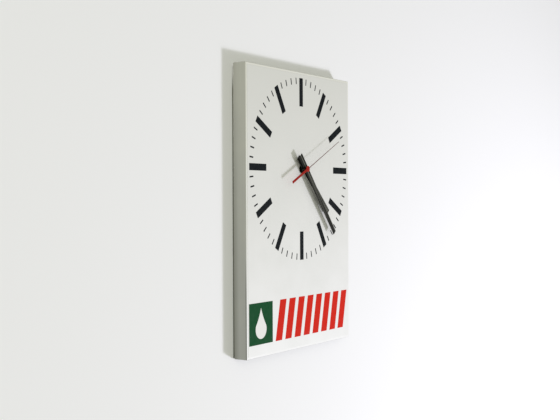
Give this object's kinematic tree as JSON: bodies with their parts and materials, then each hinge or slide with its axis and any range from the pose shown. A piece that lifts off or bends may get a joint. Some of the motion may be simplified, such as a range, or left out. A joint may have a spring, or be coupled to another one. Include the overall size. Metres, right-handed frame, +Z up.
{
  "type": "service station advertising wall clock",
  "caption": "Upright rectangular wall clock: folded steel case, printed face with a baton dial, exposed hour, minute and second hands, and a battery quartz movement in the open back.",
  "frame": {"origin": "on the hanger plate's rear face, in the wall plane, on material 4 mm above the top of the keyhole slot, 45 mm below the case's top edge, on the centre line", "axes": "+X to the right as the dial is read, +Y into the wall, +Z up; the printed face looks along -Y"},
  "size_m": [0.347, 0.0435, 0.5],
  "materials": {
    "lacquered_steel": "off-white stoved lacquer on folded steel sheet, satin",
    "face_print": "white sheet, screen printed, satin",
    "zinc_steel": "zinc plated steel strip",
    "rivet_aluminium": "plain aluminium rivet",
    "black_rubber": "moulded rubber, matte",
    "brass": "turned brass",
    "movement_plastic": "moulded black plastic, fine spark texture",
    "white_acetal": "moulded white acetal",
    "soft_iron": "stamped soft iron",
    "copper_wire": "enamelled copper wire",
    "circuit_board": "green solder mask on glass fibre board",
    "nickel": "nickel plated sheet",
    "black_resin": "potting resin, glossy",
    "battery_foil": "plain blue foil wrap with bare steel ends",
    "magnet": "sintered magnet",
    "black_hand": "semi-gloss black lacquer on stamped aluminium",
    "red_hand": "red lacquer on stamped aluminium"
  },
  "bodies": {
    "case": {"case_shell": "lacquered_steel", "face_sheet": "face_print", "hanger_rail": "zinc_steel", "hanger_plate": "zinc_steel", "rivet_upper_left": "rivet_aluminium", "rivet_lower_left": "rivet_aluminium", "rivet_upper_right": "rivet_aluminium", "rivet_lower_right": "rivet_aluminium", "bumper_upper_left": "black_rubber", "bumper_upper_right": "black_rubber", "bumper_lower_left": "black_rubber", "bumper_lower_right": "black_rubber", "rubber_washer": "black_rubber", "brass_washer": "brass", "mounting_nut": "brass", "movement_housing": "movement_plastic", "movement_cover": "movement_plastic", "mid_plate": "white_acetal", "train_bridge": "white_acetal", "stator": "soft_iron", "coil_core": "soft_iron", "coil_bobbin": "white_acetal", "coil_winding": "copper_wire", "circuit_board": "circuit_board", "quartz_crystal": "nickel", "driver_chip": "black_resin", "contact_plus": "nickel", "contact_minus": "nickel", "battery": "battery_foil"},
    "minute_works": {"minute_hand": "black_hand", "minute_hand_collet": "black_hand", "minute_arbor": "brass", "centre_wheel": "white_acetal"},
    "hour_works": {"hour_hand": "black_hand", "hour_hand_collet": "black_hand", "hour_wheel": "white_acetal"},
    "second_works": {"second_hand": "red_hand", "second_hand_hub": "red_hand", "second_wheel": "white_acetal"},
    "third_works": {"third_wheel": "white_acetal"},
    "intermediate_works": {"intermediate_wheel": "white_acetal"},
    "rotor_works": {"rotor_pinion": "white_acetal", "rotor_magnet": "magnet"},
    "minute_wheel_works": {"minute_wheel": "white_acetal"},
    "setting_works": {"setting_arbor": "white_acetal", "setting_knob": "movement_plastic"}
  },
  "joints": [
    {"name": "minute_hand_turn", "type": "hinge", "parent": "case", "child": "minute_works", "pos_m": [0, 0, -0.1306], "axis": [0, 1, 0], "continuous": true},
    {"name": "hour_hand_turn", "type": "hinge", "parent": "case", "child": "hour_works", "pos_m": [0, 0, -0.1306], "axis": [0, 1, 0], "continuous": true},
    {"name": "second_hand_turn", "type": "hinge", "parent": "case", "child": "second_works", "pos_m": [0, 0, -0.1306], "axis": [0, 1, 0], "continuous": true},
    {"name": "third_wheel_turn", "type": "hinge", "parent": "case", "child": "third_works", "pos_m": [-0.0119, 0, -0.1306], "axis": [0, 1, 0], "continuous": true},
    {"name": "intermediate_wheel_turn", "type": "hinge", "parent": "case", "child": "intermediate_works", "pos_m": [0.00504, 0, -0.12459], "axis": [0, 1, 0], "continuous": true},
    {"name": "rotor_turn", "type": "hinge", "parent": "case", "child": "rotor_works", "pos_m": [0.00936, 0, -0.11945], "axis": [0, 1, 0], "continuous": true},
    {"name": "minute_wheel_turn", "type": "hinge", "parent": "case", "child": "minute_wheel_works", "pos_m": [0.00737, 0, -0.13576], "axis": [0, 1, 0], "continuous": true},
    {"name": "setting_knob_turn", "type": "hinge", "parent": "case", "child": "setting_works", "pos_m": [0.01682, 0, -0.13576], "axis": [0, 1, 0], "continuous": true}
  ],
  "couplings": [
    {"joint": "hour_hand_turn", "follows": "minute_hand_turn", "ratio": 0.083333},
    {"joint": "second_hand_turn", "follows": "minute_hand_turn", "ratio": 60},
    {"joint": "third_wheel_turn", "follows": "minute_hand_turn", "ratio": -8},
    {"joint": "intermediate_wheel_turn", "follows": "minute_hand_turn", "ratio": -360},
    {"joint": "rotor_turn", "follows": "minute_hand_turn", "ratio": 1800},
    {"joint": "minute_wheel_turn", "follows": "minute_hand_turn", "ratio": -0.33333},
    {"joint": "setting_knob_turn", "follows": "minute_hand_turn", "ratio": 0.83333}
  ]
}
